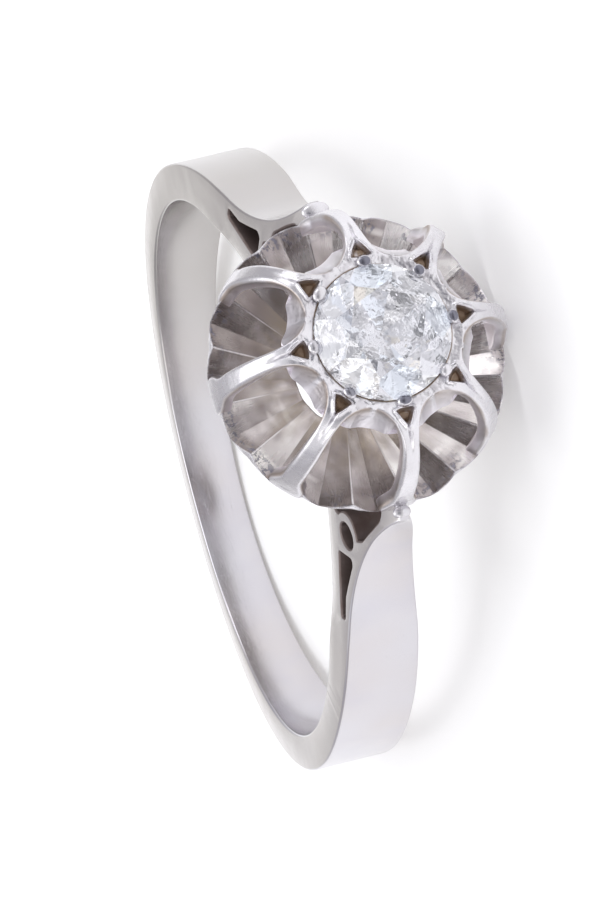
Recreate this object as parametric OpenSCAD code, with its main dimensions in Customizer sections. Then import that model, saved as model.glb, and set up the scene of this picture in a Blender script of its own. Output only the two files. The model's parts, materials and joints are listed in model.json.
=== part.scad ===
// Solitaire ring at rest on its side: a plain shank with pierced shoulders, a fluted cup, a domed
// crown of eight arms and a round brilliant stone. Millimetres, +Z up, the head towards -Y.
// Each module draws in the ring's own frame: X runs from the finger's centre to the stone, Y along
// the finger, Z from shoulder to shoulder. at_rest() then lays the whole ring down.

/* [Finger hole and shank] */
// Radius of the finger hole
finger_r = 8.5; // [8:0.25:9]
// Thickness of the shank at the base
base_t = 1.1; // [0.9:0.05:1.5]
// Thickness of the shank below the shoulders
side_t = 1.2; // [1:0.05:1.6]
// Greatest width of the shank
shank_w = 2.4; // [2:0.1:3]
// Distance of the widest place from the finger's centre, towards the head
widest_x = 2.5; // [2:0.5:3]
// Radius of the long arc that narrows the shank both ways
width_arc_r = 162; // [150:2:200]

/* [Shoulders] */
// Angle off the head's axis at which a shoulder's flank leaves the shank's outer circle
flank_from = 80; // [78:1:82]
// Radius of the flank
flank_r = 12.9; // [12.6:0.1:13.2]
// Radius of the hollow arc that carries each shoulder's outer face from its flank up to the rim
shoulder_arc_r = 8.2; // [8:0.1:8.4]
// Half the distance between the two shoulders' outer faces at the rim
shoulder_half = 4.84; // [4.8:0.02:4.88]
// Radius of the arc that narrows a shoulder towards the head
taper_arc_r = 50; // [48:1:54]
// How far that arc leans from the head's axis towards its shoulder
taper_lean = 38; // [36:1:40]
// Thickness of the rail along the finger
rail_t = 0.95; // [0.85:0.05:1]
// Height of the eye's centre above the finger hole's edge, on the head's axis
eye_rise = 0.89; // [0.87:0.01:0.91]
// Distance of the eye's centre from the middle of the head
eye_out = 4.31; // [4.29:0.01:4.33]
// How far the eye leans from the head's axis
eye_lean = 42; // [40:1:44]
// Half length of the eye's hole
eye_long = 0.53; // [0.49:0.01:0.55]
// Half width of the eye's hole
eye_wide = 0.35; // [0.32:0.01:0.36]
// Thickness of the metal round the eye
eye_wall = 0.34; // [0.32:0.01:0.35]

/* [Cup] */
// Height of the cup's rim above the finger hole's edge
rim_rise = 4.6; // [4.5:0.05:4.7]
// Radius of the cup's rim
rim_r = 4.35; // [4.3:0.05:4.4]
// Height of the hole in the cup's bottom above the finger hole's edge
hole_rise = 3.25; // [3.15:0.05:3.35]
// Radius of the hole in the cup's bottom
cup_hole_r = 1.65; // [1.55:0.05:1.75]
// Thickness of the cup's wall
cup_wall = 0.42; // [0.38:0.02:0.46]
// Thickness of the cup's lip
lip_t = 0.34; // [0.3:0.02:0.38]
// Number of flutes round the cup
flutes = 16; // [16:8:24]
// Depth of a flute at the rim
flute_depth = 0.22; // [0.2:0.01:0.24]
// Angle of the first ridge from the upper arm
flute_from = -4.5; // [-5:0.5:-4]
// Inner radius of the base tube where it meets the finger
tube_low_r = 1.3; // [1.2:0.05:1.4]
// Wall of the base tube
tube_wall = 0.35; // [0.3:0.05:0.4]

/* [Crown] */
// Number of arms, windows and beads
arms = 8; // [8:1:8]
// Height of the crown's top above the finger hole's edge
crown_rise = 8.1; // [8:0.05:8.2]
// Radius at which the crown's dome starts to fall towards the rim
crown_top_r = 2.45; // [2.4:0.05:2.5]
// Wall of the crown
crown_wall = 0.45; // [0.4:0.05:0.5]
// How far the crown's foot curls out past the cup's rim and down over it
curl = 0.07; // [0.06:0.01:0.08]
// Radius of the arch at the top of each window
window_in_r = 2.65; // [2.6:0.05:2.7]
// Half the angle of a window at the rim
window_half_a = 17.5; // [16.5:0.5:18]
// Radius of the round end of each arm
knob_r = 0.33; // [0.31:0.01:0.35]
// How far inside the rim's radius that round end is centred
knob_inset = 0.12; // [0.11:0.01:0.13]
// Radius of a bead
bead_r = 0.25; // [0.23:0.01:0.27]
// Height of a bead's centre above the crown's top
bead_lift = 0.2; // [0.18:0.01:0.22]
// Distance of a bead's centre outwards from the girdle
bead_out = 0.08; // [0.07:0.01:0.1]

/* [Stone] */
// Radius of the stone at its girdle
stone_r = 1.98; // [1.96:0.01:2]
// Thickness of the girdle, which lies level with the crown's top
girdle_t = 0.1; // [0.08:0.02:0.12]
// Height of the stone above the girdle
stone_top_h = 0.64; // [0.6:0.01:0.68]
// Depth of the stone below the girdle
stone_low_h = 1.72; // [1.68:0.02:1.76]
// Radius of the table's corners
table_r = 1.12; // [1.1:0.01:1.14]
// Clearance between the stone and the metal
stone_gap = 0.04; // [0.03:0.01:0.05]

/* [Hidden] */
$fn = 96;
metal = [0.80, 0.80, 0.79];
gem = [0.92, 0.95, 0.99];
step_a = 360 / arms;
flute_a = 360 / flutes;
over = 1;
seam_a = step_a * 0.45;

rim_x = finger_r + rim_rise;
cup_hole_x = finger_r + hole_rise;
crown_x = finger_r + crown_rise;
girdle_x = crown_x;
base_x = finger_r + base_t;
half_w = shank_w / 2;
outer_r = finger_r + (base_t + side_t) / 2;
outer_shift = (side_t - base_t) / 2;
head_end_x = rim_x + 0.15;
reach = 20;

// Centre of the upper flank, which runs out from the shank's outer circle, and centre of the upper
// hollow arc, which runs on from that flank and is lowest at the shoulder's place at the rim. Each
// pair overlaps a little, so that the two arcs cross at a place of their own.
flank_x = outer_shift - (flank_r - outer_r + 0.01) * cos(flank_from);
flank_z = -(flank_r - outer_r + 0.01) * sin(flank_from);
arc_z = shoulder_half + shoulder_arc_r;
arc_x = flank_x + sqrt(pow(flank_r + shoulder_arc_r - 0.005, 2) - pow(arc_z - flank_z, 2));

// A point inside the metal on the line between those two centres, where arc follows flank.
inner_share = (flank_r - 4) / (flank_r + shoulder_arc_r);
inner_x = flank_x + inner_share * (arc_x - flank_x);
inner_z = flank_z + inner_share * (arc_z - flank_z);

// Half of the shank's width at a distance x along the head's axis.
function half_width(x) = half_w - pow(x - widest_x, 2) / (2 * width_arc_r);

// A point of the shoulder by its height above the finger hole's edge and its angle off the head's
// axis, and one by that height on the axis and its distance from the middle.
function at(rise, a) = (finger_r + rise) * [cos(a), sin(a)];
function off(rise, out) = [finger_r + rise, out];

// Turns a flat outline, drawn in X and Z, into a slab along Y that is wider than the shank.
module side_slab(w) rotate([90, 0, 0]) translate([0, 0, -w / 2]) linear_extrude(w) children();

// Turns a solid drawn round Z into one round the head's axis X. A turned part starts between two
// arms and inside a flute, so that its seam meets no arm, ridge or bead.
module on_head_axis() rotate([0, 90, 0]) rotate(seam_a) children();

// Lies the ring on its side: one arm's round end and the base's edge touch the floor.
knob_x = rim_x + 0.1;
knob_place_r = rim_r - knob_inset;
base_half = half_width(-base_x);
lean_x = knob_x + base_x;
lean_y = knob_place_r - base_half;
lean = atan2(lean_y, lean_x) + asin(knob_r / norm([lean_x, lean_y]));
floor_z = base_x * sin(lean) + base_half * cos(lean);
stone_top_x = girdle_x + girdle_t / 2 + stone_top_h;
front_y = stone_top_x * cos(lean) + table_r * sin(lean);
back_y = base_x * cos(lean) + base_half * sin(lean);
module at_rest() {
    translate([0, (front_y - back_y) / 2, floor_z]) rotate([-lean, 0, 0]) rotate([-90, 0, -90]) children();
}

// The shank and the shoulders as one slab, without the finger hole.
module shank_slab() {
    w = shank_w + over;
    side_slab(w) translate([outer_shift, 0]) circle(r = outer_r, $fn = 180);
    side_slab(w) upper_flank();
    side_slab(w) mirror([0, 1]) upper_flank();
    side_slab(w) shoulder_heads();
}

// What lies between the two hollow arcs, up to the rim.
module shoulder_heads() difference() {
    polygon([[inner_x, inner_z], [arc_x, arc_z], [reach, arc_z], [reach, -arc_z], [arc_x, -arc_z],
        [inner_x, -inner_z]]);
    for (s = [-1, 1]) translate([arc_x, s * arc_z]) circle(r = shoulder_arc_r, $fn = 360);
    translate([head_end_x, -reach]) square([reach, 2 * reach]);
}

// Flank of the upper shoulder, which the shank's outer circle and the hollow arc run out from.
module upper_flank() intersection() {
    translate([flank_x, flank_z]) circle(r = flank_r, $fn = 360);
    polygon([[0, -over], [reach, -over], [reach, reach], reach * [cos(flank_from), sin(flank_from)]]);
}

// Openings of one shoulder: slot, eye and the four-sided opening that reaches under the cup.
module shoulder_openings() {
    polygon([at(rail_t + 0.14, 28.3), at(2.12, 28.2), at(2.2, 29), at(1.8, 32.5), at(1.5, 35.8),
        at(1.44, 40.3), at(rail_t + 0.16, 40.8)]);
    eye(0);
    difference() {
        polygon([at(rail_t, 8.5), at(rail_t, 14), at(rail_t, 20.8), off(0.5, 3.52), off(1, 4.1),
            off(1.8, 4.5), off(1.98, 4.7), off(2.14, 4.76), off(2.6, 4.7), off(3.14, 4.64),
            off(3.64, 4.55), off(3.84, 4.42), off(3.92, 4.2), off(4.5, 3.4), off(4.5, 1.3)]);
        eye(eye_wall);
    }
}

// The eye's oval, wider all round by the given amount.
module eye(more) {
    steps = 28;
    translate(off(eye_rise, eye_out)) rotate(eye_lean) polygon([for (i = [0:steps - 1])
        [(eye_long + more) * cos(i * 360 / steps), (eye_wide + more) * sin(i * 360 / steps)]]);
}

// Keeps the shank up to the round tongue that ends each shoulder's outer face.
module shoulder_ends() {
    tongue_r = half_w * 0.4;
    tongue_x = head_end_x - tongue_r;
    translate([-reach, -half_w - over, -reach]) cube([reach + tongue_x, shank_w + 2 * over, 2 * reach]);
    translate([tongue_x, 0, -reach]) cylinder(r = tongue_r, h = 2 * reach);
}

// Keeps what lies inside the long arc of one side.
module long_arc(side) translate([widest_x, side * (half_w - width_arc_r), -reach])
    cylinder(r = width_arc_r, h = 2 * reach, $fn = 1440);

// What the arc that narrows a shoulder takes off one of its sides. It starts at the full width.
taper_from = -1.5;
module shoulder_taper(shoulder, side) intersection() {
    translate([-reach, -reach, shoulder > 0 ? 0 : -reach]) cube([2 * reach, 2 * reach, reach]);
    rotate([0, shoulder * taper_lean, 0]) difference() {
        translate([taper_from, side > 0 ? 0 : -reach, -reach]) cube([reach, reach, 2 * reach]);
        translate([taper_from, side * (half_w - taper_arc_r), -reach - over])
            cylinder(r = taper_arc_r, h = 2 * (reach + over), $fn = 1440);
    }
}

module shank() {
    difference() {
        intersection() {
            shank_slab();
            long_arc(1);
            long_arc(-1);
            shoulder_ends();
        }
        side_slab(shank_w + 3 * over) shoulder_openings();
        side_slab(shank_w + 3 * over) mirror([0, 1]) shoulder_openings();
        for (shoulder = [-1, 1]) for (side = [-1, 1]) shoulder_taper(shoulder, side);
        head_core();
    }
}

// Room inside the cup and the tube that the shank keeps out of; it ends within their walls.
module head_core() {
    core_r = rim_r - 0.25;
    on_head_axis() rotate_extrude($fn = 128) polygon([
        [0, finger_r - 2 * over], [tube_low_r + tube_wall * 0.4, finger_r - 2 * over],
        [cup_hole_r + tube_wall * 0.5, cup_hole_x - cup_wall], [core_r, rim_x - lip_t * 0.88],
        [core_r, rim_x + over], [0, rim_x + over]]);
}

// Wall of the cup and of the base tube, turned round the head's axis.
cup_slope = atan2(rim_x - cup_hole_x, rim_r - cup_hole_r);
module cup_blank() {
    on_head_axis() rotate_extrude($fn = 128) polygon([
        [tube_low_r + (cup_hole_r - tube_low_r) * 0.9, cup_hole_x - 0.3],
        [cup_hole_r - 0.1, cup_hole_x + 0.1],
        [rim_r, rim_x + 0.12],
        [rim_r, rim_x - lip_t],
        [cup_hole_r + 2 * tube_wall, cup_hole_x - cup_wall],
        [tube_low_r + tube_wall, finger_r - over],
        [tube_low_r, finger_r - over]]);
}

// The cup's inside as one many-sided cone. Every side runs from the cup's own apex, so that each
// flute widens and deepens evenly towards the rim: two flat flanks between sharp ridges.
cup_apex_x = cup_hole_x - cup_hole_r * tan(cup_slope);
function wall_point(i, r) =
    let (turn = flute_from + i * flute_a / 2, low = (i % 2) * flute_depth / rim_r)
    [cup_apex_x + r * (tan(cup_slope) - low), r * sin(turn), r * cos(turn)];
function level_point(i, r, x) = let (p = wall_point(i, r)) [x, p[1], p[2]];
module fluted_inside() {
    n = 2 * flutes;
    near = tube_low_r - 0.1;
    far = rim_r + 0.4;
    polyhedron(
        points = concat(
            [for (i = [0:n - 1]) level_point(i, near, finger_r + 1)],
            [for (i = [0:n - 1]) wall_point(i, near)],
            [for (i = [0:n - 1]) wall_point(i, far)],
            [for (i = [0:n - 1]) level_point(i, far, rim_x + 2)]),
        faces = concat(
            [[for (i = [n - 1:-1:0]) i]],
            [for (k = [0:2]) for (i = [0:n - 1])
                [k * n + i, k * n + (i + 1) % n, (k + 1) * n + (i + 1) % n, (k + 1) * n + i]],
            [[for (i = [0:n - 1]) 3 * n + i]]));
}

module fluted_cup() {
    difference() {
        cup_blank();
        fluted_inside();
    }
}

// Section of the crown: a quarter of an ellipse from the collar down over the cup's rim.
crown_foot_x = rim_x - 2 * curl;
collar_in_r = stone_r - 0.35;
collar_deep = 0.75;
module crown_section() {
    steps = 8;
    rise = crown_x - crown_foot_x;
    spread = rim_r + curl - crown_top_r;
    function on_dome(i, out, up) =
        [crown_top_r + out * sin(i * 90 / steps), crown_foot_x + up * cos(i * 90 / steps)];
    outer = [for (i = [0:steps]) on_dome(i, spread, rise)];
    inner = [for (i = [steps:-1:0]) on_dome(i, spread - crown_wall * 0.8, rise - crown_wall)];
    polygon(concat([[collar_in_r, crown_x]], outer, inner, [[collar_in_r, crown_x - collar_deep]]));
}

// Plan of one window, seen along the head's axis: a round arch that opens out to the rim.
module window_plan() {
    arch_r = window_in_r * 1.3 * sin(window_half_a);
    far = rim_r + over;
    translate([window_in_r + arch_r, 0]) circle(r = arch_r, $fn = 48);
    polygon([
        [window_in_r + arch_r, arch_r], [window_in_r + arch_r, -arch_r],
        [far * cos(window_half_a), -far * sin(window_half_a)],
        [far * cos(window_half_a), far * sin(window_half_a)]]);
}

// Plan of the small triangular hole in an arm, its base towards the stone.
arm_hole = [0.48, 0.48];
module arm_hole_plan() translate([crown_top_r + 0.05, 0])
    polygon([[0, -arm_hole[1] / 2], [0, arm_hole[1] / 2], [arm_hole[0], 0]]);

module crown() {
    cut_h = crown_rise;
    difference() {
        on_head_axis() rotate_extrude($fn = 128) crown_section();
        for (i = [0:arms - 1]) rotate([(i + 0.5) * step_a, 0, 0])
            translate([rim_x - over, 0, 0]) head_plan(cut_h) window_plan();
        for (i = [0:arms - 1]) rotate([i * step_a, 0, 0])
            translate([rim_x + over, 0, 0]) head_plan(cut_h) arm_hole_plan();
    }
    for (i = [0:arms - 1]) rotate([i * step_a, 0, 0]) {
        translate([knob_x, 0, knob_place_r]) sphere(r = knob_r, $fn = 32);
        translate([crown_x, 0, stone_r + bead_out]) bead();
    }
}

// A bead on a short stem that rises from the collar.
module bead() {
    stem_h = 0.5;
    translate([bead_lift, 0, 0]) sphere(r = bead_r, $fn = 32);
    translate([bead_lift - stem_h, 0, 0]) on_head_axis() cylinder(r = bead_r * 0.9, h = stem_h, $fn = 32);
}

// Stands a plan, drawn with X outwards from the head's axis, up along that axis.
module head_plan(h) rotate([0, 90, 0]) linear_extrude(h) mirror([1, 0]) children();

// Room that the stone takes, with its clearance all round.
module stone_room() {
    r = stone_r + stone_gap;
    low = girdle_x - girdle_t / 2 - stone_gap;
    high = girdle_x + girdle_t / 2 + stone_gap;
    slope_low = stone_low_h / stone_r;
    slope_high = stone_top_h / (stone_r - table_r);
    run = 1.4 * (r - table_r);
    on_head_axis() rotate_extrude($fn = 128) polygon([
        [0, low - slope_low * r], [r, low], [r, high], [r - run, high + slope_high * run],
        [0, high + slope_high * run]]);
}

module mounting() color(metal) at_rest() difference() {
    union() {
        shank();
        fluted_cup();
        crown();
    }
    rotate([90, 0, 0]) translate([0, 0, -shank_w]) cylinder(r = finger_r, h = 2 * shank_w, $fn = 180);
    stone_room();
}

// Points of a round brilliant: rings of corners, each facet flat by construction.
function ring(n, r, x, turn) =
    [for (i = [0:n - 1]) let (a = i * 360 / n + turn) [x, r * sin(a), r * cos(a)]];
star_r = (table_r * cos(22.5) + stone_r) / 2 * 0.97;
star_x = stone_top_h * (stone_r - star_r * cos(22.5)) / (stone_r - table_r);
half_r = stone_r * 0.24;
half_x = stone_low_h * (1 - half_r * cos(22.5) / stone_r);
module stone() color(gem) at_rest() translate([girdle_x, 0, 0]) polyhedron(
    points = concat(
        ring(8, table_r, girdle_t / 2 + stone_top_h, 0),
        ring(8, star_r, girdle_t / 2 + star_x, 22.5),
        ring(16, stone_r, girdle_t / 2, 0),
        ring(16, stone_r, -girdle_t / 2, 0),
        ring(8, half_r, -girdle_t / 2 - half_x, 22.5),
        [[-girdle_t / 2 - stone_low_h, 0, 0]]),
    faces = concat(
        [[for (i = [0:7]) i]],
        [for (i = [0:7]) [8 + i, (i + 1) % 8, i]],
        [for (i = [0:7]) [8 + (i + 7) % 8, 16 + 2 * i, 8 + i, i]],
        [for (i = [0:7]) [16 + 2 * i, 16 + 2 * i + 1, 8 + i]],
        [for (i = [0:7]) [16 + 2 * i + 1, 16 + (2 * i + 2) % 16, 8 + i]],
        [for (i = [0:15]) [32 + i, 32 + (i + 1) % 16, 16 + (i + 1) % 16, 16 + i]],
        [for (i = [0:7]) [48 + i, 32 + 2 * i + 1, 32 + 2 * i]],
        [for (i = [0:7]) [48 + i, 32 + (2 * i + 2) % 16, 32 + 2 * i + 1]],
        [for (i = [0:7]) [48 + (i + 7) % 8, 56, 48 + i, 32 + 2 * i]]));

mounting();
stone();
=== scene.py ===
import json
import math

import bmesh
import bpy
import numpy as np
from mathutils import Matrix, Vector


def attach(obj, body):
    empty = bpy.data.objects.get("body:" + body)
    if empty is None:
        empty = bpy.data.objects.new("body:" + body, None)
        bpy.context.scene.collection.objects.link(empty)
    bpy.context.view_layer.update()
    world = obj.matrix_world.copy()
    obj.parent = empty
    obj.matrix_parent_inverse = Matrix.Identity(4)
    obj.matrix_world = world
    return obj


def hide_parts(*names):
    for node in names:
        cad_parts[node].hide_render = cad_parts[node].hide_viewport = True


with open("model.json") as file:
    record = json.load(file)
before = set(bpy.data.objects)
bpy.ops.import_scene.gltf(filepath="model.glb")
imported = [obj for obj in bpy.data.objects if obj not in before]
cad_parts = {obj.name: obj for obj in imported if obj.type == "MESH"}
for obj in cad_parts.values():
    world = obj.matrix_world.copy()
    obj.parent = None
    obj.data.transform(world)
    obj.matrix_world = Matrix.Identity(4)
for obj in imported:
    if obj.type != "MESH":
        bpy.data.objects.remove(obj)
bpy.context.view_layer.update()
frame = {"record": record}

# The ring's own frame is in millimetres: X runs from the finger's centre to the stone, Y along the
# finger and Z from shoulder to shoulder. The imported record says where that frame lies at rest.
MM = 0.001
HOLE = next(m for m in frame["record"]["mounts"] if m["name"] == "finger_hole")
FINGER_DIR = -np.array(HOLE["axis"])
SHOULDER_DIR = np.array([1.0, 0.0, 0.0])
REST = np.array([np.cross(FINGER_DIR, SHOULDER_DIR), FINGER_DIR, SHOULDER_DIR])
CHANCE = np.random.default_rng(32)

# Shank and shoulders. A rise is a height above the finger hole, and degrees are off the head's axis.
FINGER_R = HOLE["dims"]["r_mm"]
BASE_T, SIDE_T = 1.1, 1.2
SHANK_W, WIDEST_X, WIDTH_ARC_R = 2.4, 2.5, 162.0
FLANK_FROM, FLANK_R, SHOULDER_ARC_R, SHOULDER_HALF = 80.0, 12.9, 8.2, 4.84
TAPER_FROM, TAPER_ARC_R, TAPER_LEAN = -1.5, 50.0, 38.0
TONGUE_FROM_X, TONGUE_END_X, TONGUE_PAST = 11.2, 13.4, 0.15
RAIL_T, RAIL_THINNER, RAIL_FROM, RAIL_TO = 0.95, 0.02, 20.8, 8.0
RAIL_CHAMFER, CHAMFER_RISE, CHAMFER_FROM, CHAMFER_FULL = 0.11, 1.05, 53, 37
EYE_RISE, EYE_OUT, EYE_LEAN, EYE_LONG, EYE_WIDE, EYE_WALL = 0.89, 4.31, 42.0, 0.53, 0.35, 0.34
EYE_FROM, EYE_TO = -24, -148
# The outer rail's inside and the point under the eye, by rise and distance from the middle, and the
# slot's corners, by rise and degrees
INSIDE = ((4.75, 4.3), (4.3, 4.02), (3.92, 4.2), (3.84, 4.42), (3.64, 4.55), (3.14, 4.64), (2.6, 4.7),
          (2.14, 4.76), (1.95, 4.72))
UNDER_EYE = (0.52, 3.5)
SLOT = ((1.09, 28.3), (2.12, 28.2), (2.2, 29), (1.8, 32.5), (1.5, 35.8), (1.44, 40.3), (1.11, 40.8))
CORNER_CUT, OUTLINE_STEP, SHANK_EDGE = 0.1, 0.15, 0.085
SIDE_ARCS = (0.5, CHAMFER_RISE, 1.75)
# How far up the shoulders' insides, how close to the openings' rims and how upright a face must be to be
# painted dark: painted shade with some dirt
SHADE_SOIL_BELOW, SHADE_SOIL_REACH, UPRIGHT = 3.7, 0.12, 0.85

# Cup. A ridge and a valley are half as wide as that share of a flute. The flanks' painted light is
# brightest round BRIGHT_AT, in degrees from the upper shoulder.
RIM_X, RIM_R = FINGER_R + 4.6, 4.35
HOLE_X, HOLE_R = FINGER_R + 3.25, 1.58
CUP_WALL, LIP_T, LIP_FLAT = 0.42, 0.3, 0.05
FLUTES, FLUTE_DEPTH, FLUTE_FROM, FLANK_STEPS = 16, 0.25, -4.5, 8
RIDGE, VALLEY = 0.03, 0.008
PETAL_OUT, PETAL_BACK, PETAL_WIDE = 0.16, 0.07, 0.35
BRIGHT_SIDE, BRIGHT_AT = 0.45, 50
TUBE_R, TUBE_WALL = 1.3, 0.35

# Crown. A window's half and its feet's spread are in degrees, and an edge is its rounding's size.
ARMS = 8
CROWN_X, DOME_TOP_R = FINGER_R + 8.1, 2.45
CURL = 0.07
FOOT_X = RIM_X - 2 * CURL
DOME_OUT, DOME_UP = RIM_R + CURL - DOME_TOP_R, CROWN_X - FOOT_X
COLLAR_R = 1.995
CROWN_WALL, ARCH_WALL = 0.42, 0.82
ARCH_R, ARCH_FULL_R, ARCH_SLANT, ARCH_ROUND, WINDOW_HALF = 2.32, 3.6, 0.36, 2.5, 18.2
FOOT_SPREAD, FOOT_TALL = 3.2, 1.1
PIT_NEAR_R, PIT_FAR_R, PIT_HALF, PIT_DEEP, PIT_FLOOR, PIT_STILL = 2.25, 2.76, 0.32, 0.2, 0.55, 0.2
RIM_RISE, RIM_HALF, SEAT_DROP = 0.06, 0.05, 0.05
ARM_EDGE, FOOT_EDGE, BACK_EDGE, PIT_EDGE, END_EDGE, END_BACK_EDGE = 0.07, 0.14, 0.06, 0.03, 0.16, 0.1
GROOVE_DEEP, GROOVE_HALF, GROOVE_LONG = 0.08, 0.07, 0.9
ROW_GAP, ARM_COLS, PIT_COLS, BEHIND = 0.0012, 20, 7, 0.3
TIP_X, TIP_OUT = 0.08, 0.36
KNOB_INSET = 0.12
KNOB_SIZE, TIP_SIZE, LOW_TIP_SIZE = (0.16, 0.5, 0.2), (0.16, 0.42, 0.26), (0.15, 0.27, 0.2)
BEAD_R, BEAD_SHAPE = 0.2, (0.8, 1.2, 0.95)
SEAT_R, SEAT_TALL = 1.76, 0.7

# Stone. A tilt is a share of the kites' tilt above the girdle and of the mains' below it.
STONE_R, GIRDLE_T, STONE_TOP, STONE_LOW, TABLE_R = 1.98, 0.1, 0.64, 1.72, 1.12
STAR_TILT, UPPER_TILT, LOWER_TILT = 0.62, 1.16, 1.035
BLANK_SIDES, CULET, HALVES_RISE = 96, 0.985, 0.01


def smooth(low, high, x):
    """0 below low, 1 above high, and a smooth S between them."""
    t = np.clip((np.asarray(x, float) - low) / (high - low), 0, 1)
    return t * t * (3 - 2 * t)


def at_rest(points):
    """Points of the ring's own frame, in mm, as metres in the frame in which the ring lies."""
    return points @ REST * MM + np.array(HOLE["pos_m"])


def round_head(along, radius, angle):
    """Points round the head's axis: X is along it, and the angle starts at the upper shoulder."""
    along, radius, angle = np.broadcast_arrays(along, radius, angle)
    return np.stack([along, radius * np.sin(angle), radius * np.cos(angle)], -1)


def grid_quads(rows, cols, close_rows=False, close_cols=False):
    """Corner numbers of every quad of a grid whose points are numbered row by row."""
    i = np.arange(rows if close_rows else rows - 1)[:, None]
    j = np.arange(cols if close_cols else cols - 1)[None, :]
    i1, j1 = (i + 1) % rows, (j + 1) % cols
    corners = np.broadcast_arrays(i * cols + j, i * cols + j1, i1 * cols + j1, i1 * cols + j)
    return np.stack(corners, -1).reshape(-1, 4)


def rounded(corners, cut, steps=5, closed=False):
    """A line through the corners whose corners are rounded: each is replaced by a parabola that
    starts and ends at most cut away from it. Further columns are carried along."""
    corners = np.asarray(corners, float)
    back, ahead = np.roll(corners, 1, 0), np.roll(corners, -1, 0)
    reach = []
    for other in (back, ahead):
        size = np.linalg.norm((other - corners)[:, :2], axis=1)
        reach.append(np.minimum(0.45, np.asarray(cut) / np.maximum(size, 1e-9))[:, None])
    start, end = corners + (back - corners) * reach[0], corners + (ahead - corners) * reach[1]
    t = np.linspace(0, 1, steps)[None, :, None]
    bend = (1 - t) ** 2 * start[:, None] + 2 * t * (1 - t) * corners[:, None] + t**2 * end[:, None]
    if closed:
        return bend.reshape(-1, corners.shape[1])
    return np.concatenate([corners[:1], bend[1:-1].reshape(-1, corners.shape[1]), corners[-1:]])


def refine(line, step):
    """The same line with further points, so that no two neighbours are more than step apart."""
    size = np.linalg.norm(np.diff(line[:, :2], axis=0), axis=1)
    parts = [a + (b - a) * (np.arange(n) / n)[:, None]
             for a, b, n in zip(line[:-1], line[1:], np.maximum(1, np.ceil(size / step)).astype(int))]
    return np.concatenate(parts + [line[-1:]])


def add_object(name, data):
    """An object of that mesh, curve, camera or light, in the scene."""
    made = bpy.data.objects.new(name, data)
    bpy.context.scene.collection.objects.link(made)
    return made


def vectors(parts, key):
    """One vector of every vertex or face, such as its place, as the rows of an array."""
    got = np.empty(len(parts) * 3)
    parts.foreach_get(key, got)
    return got.reshape(-1, 3)


def add_mark(mesh, name, domain, values):
    """Gives every point or face a number that its finish reads."""
    mesh.attributes.new(name, "FLOAT", domain).data.foreach_set("value", np.ravel(values).astype(np.float32))


def solid(name, points, quads, marks, sharp=32):
    """One closed mesh from points in mm, in the ring's own frame, and quads: doubles are merged,
    faces turned outwards, and edges that bend more than sharp degrees stay crisp."""
    mesh = bpy.data.meshes.new(name)
    mesh.vertices.add(len(points))
    mesh.vertices.foreach_set("co", at_rest(points).ravel())
    mesh.loops.add(quads.size)
    mesh.loops.foreach_set("vertex_index", quads.ravel().astype(np.int32))
    mesh.polygons.add(len(quads))
    mesh.polygons.foreach_set("loop_start", np.arange(0, quads.size, 4, dtype=np.int32))
    mesh.update(calc_edges=True)
    for mark, values in marks.items():
        add_mark(mesh, mark, "POINT", values)
    return settle(name, mesh, sharp)


def settle(name, mesh, sharp, merge=0.0002):
    """Merges doubles, turns faces outwards, sets smooth and crisp edges, and makes the object."""
    work = bmesh.new()
    work.from_mesh(mesh)
    bmesh.ops.remove_doubles(work, verts=work.verts, dist=merge * MM)
    bmesh.ops.dissolve_degenerate(work, edges=work.edges, dist=merge * MM / 4)
    bmesh.ops.recalc_face_normals(work, faces=work.faces)
    work.to_mesh(mesh)
    work.free()
    mesh.shade_smooth()
    mesh.set_sharp_from_angle(angle=math.radians(sharp))
    piece = add_object(name, mesh)
    weighted = piece.modifiers.new("even_shading", "WEIGHTED_NORMAL")
    weighted.keep_sharp = True
    return piece


def half_width(x, z):
    """Half of the shank's width: a long arc, widest in the middle, less an arc that narrows each
    shoulder as its leaning line s runs towards the head, an elliptic end, and a chamfer on the rail."""
    wide = SHANK_W / 2 - (x - WIDEST_X) ** 2 / (2 * WIDTH_ARC_R)
    lean = math.radians(TAPER_LEAN)
    s = x * math.cos(lean) - np.abs(z) * math.sin(lean)
    taper = SHANK_W / 2 - np.maximum(0, s - TAPER_FROM) ** 2 / (2 * TAPER_ARC_R)
    end = np.clip((x - TONGUE_FROM_X) / (TONGUE_END_X - TONGUE_FROM_X), 0, 1)
    rise, away = np.hypot(x, z) - FINGER_R, np.degrees(np.arctan2(np.abs(z), x))
    chamfer = RAIL_CHAMFER * np.clip(1 - rise / CHAMFER_RISE, 0, 1) * smooth(CHAMFER_FROM, CHAMFER_FULL, away)
    return np.minimum(wide, taper) * np.sqrt(1 - end**2) - chamfer


def polar(rise, degrees):
    """Points by their rise and their degrees off the head's axis."""
    a = np.radians(degrees)
    return np.stack(np.broadcast_arrays((FINGER_R + rise) * np.cos(a), (FINGER_R + rise) * np.sin(a)), -1)


def off_axis(rise, out):
    """A point by its rise on the axis and its distance from the middle."""
    return np.array([FINGER_R + rise, out])


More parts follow.
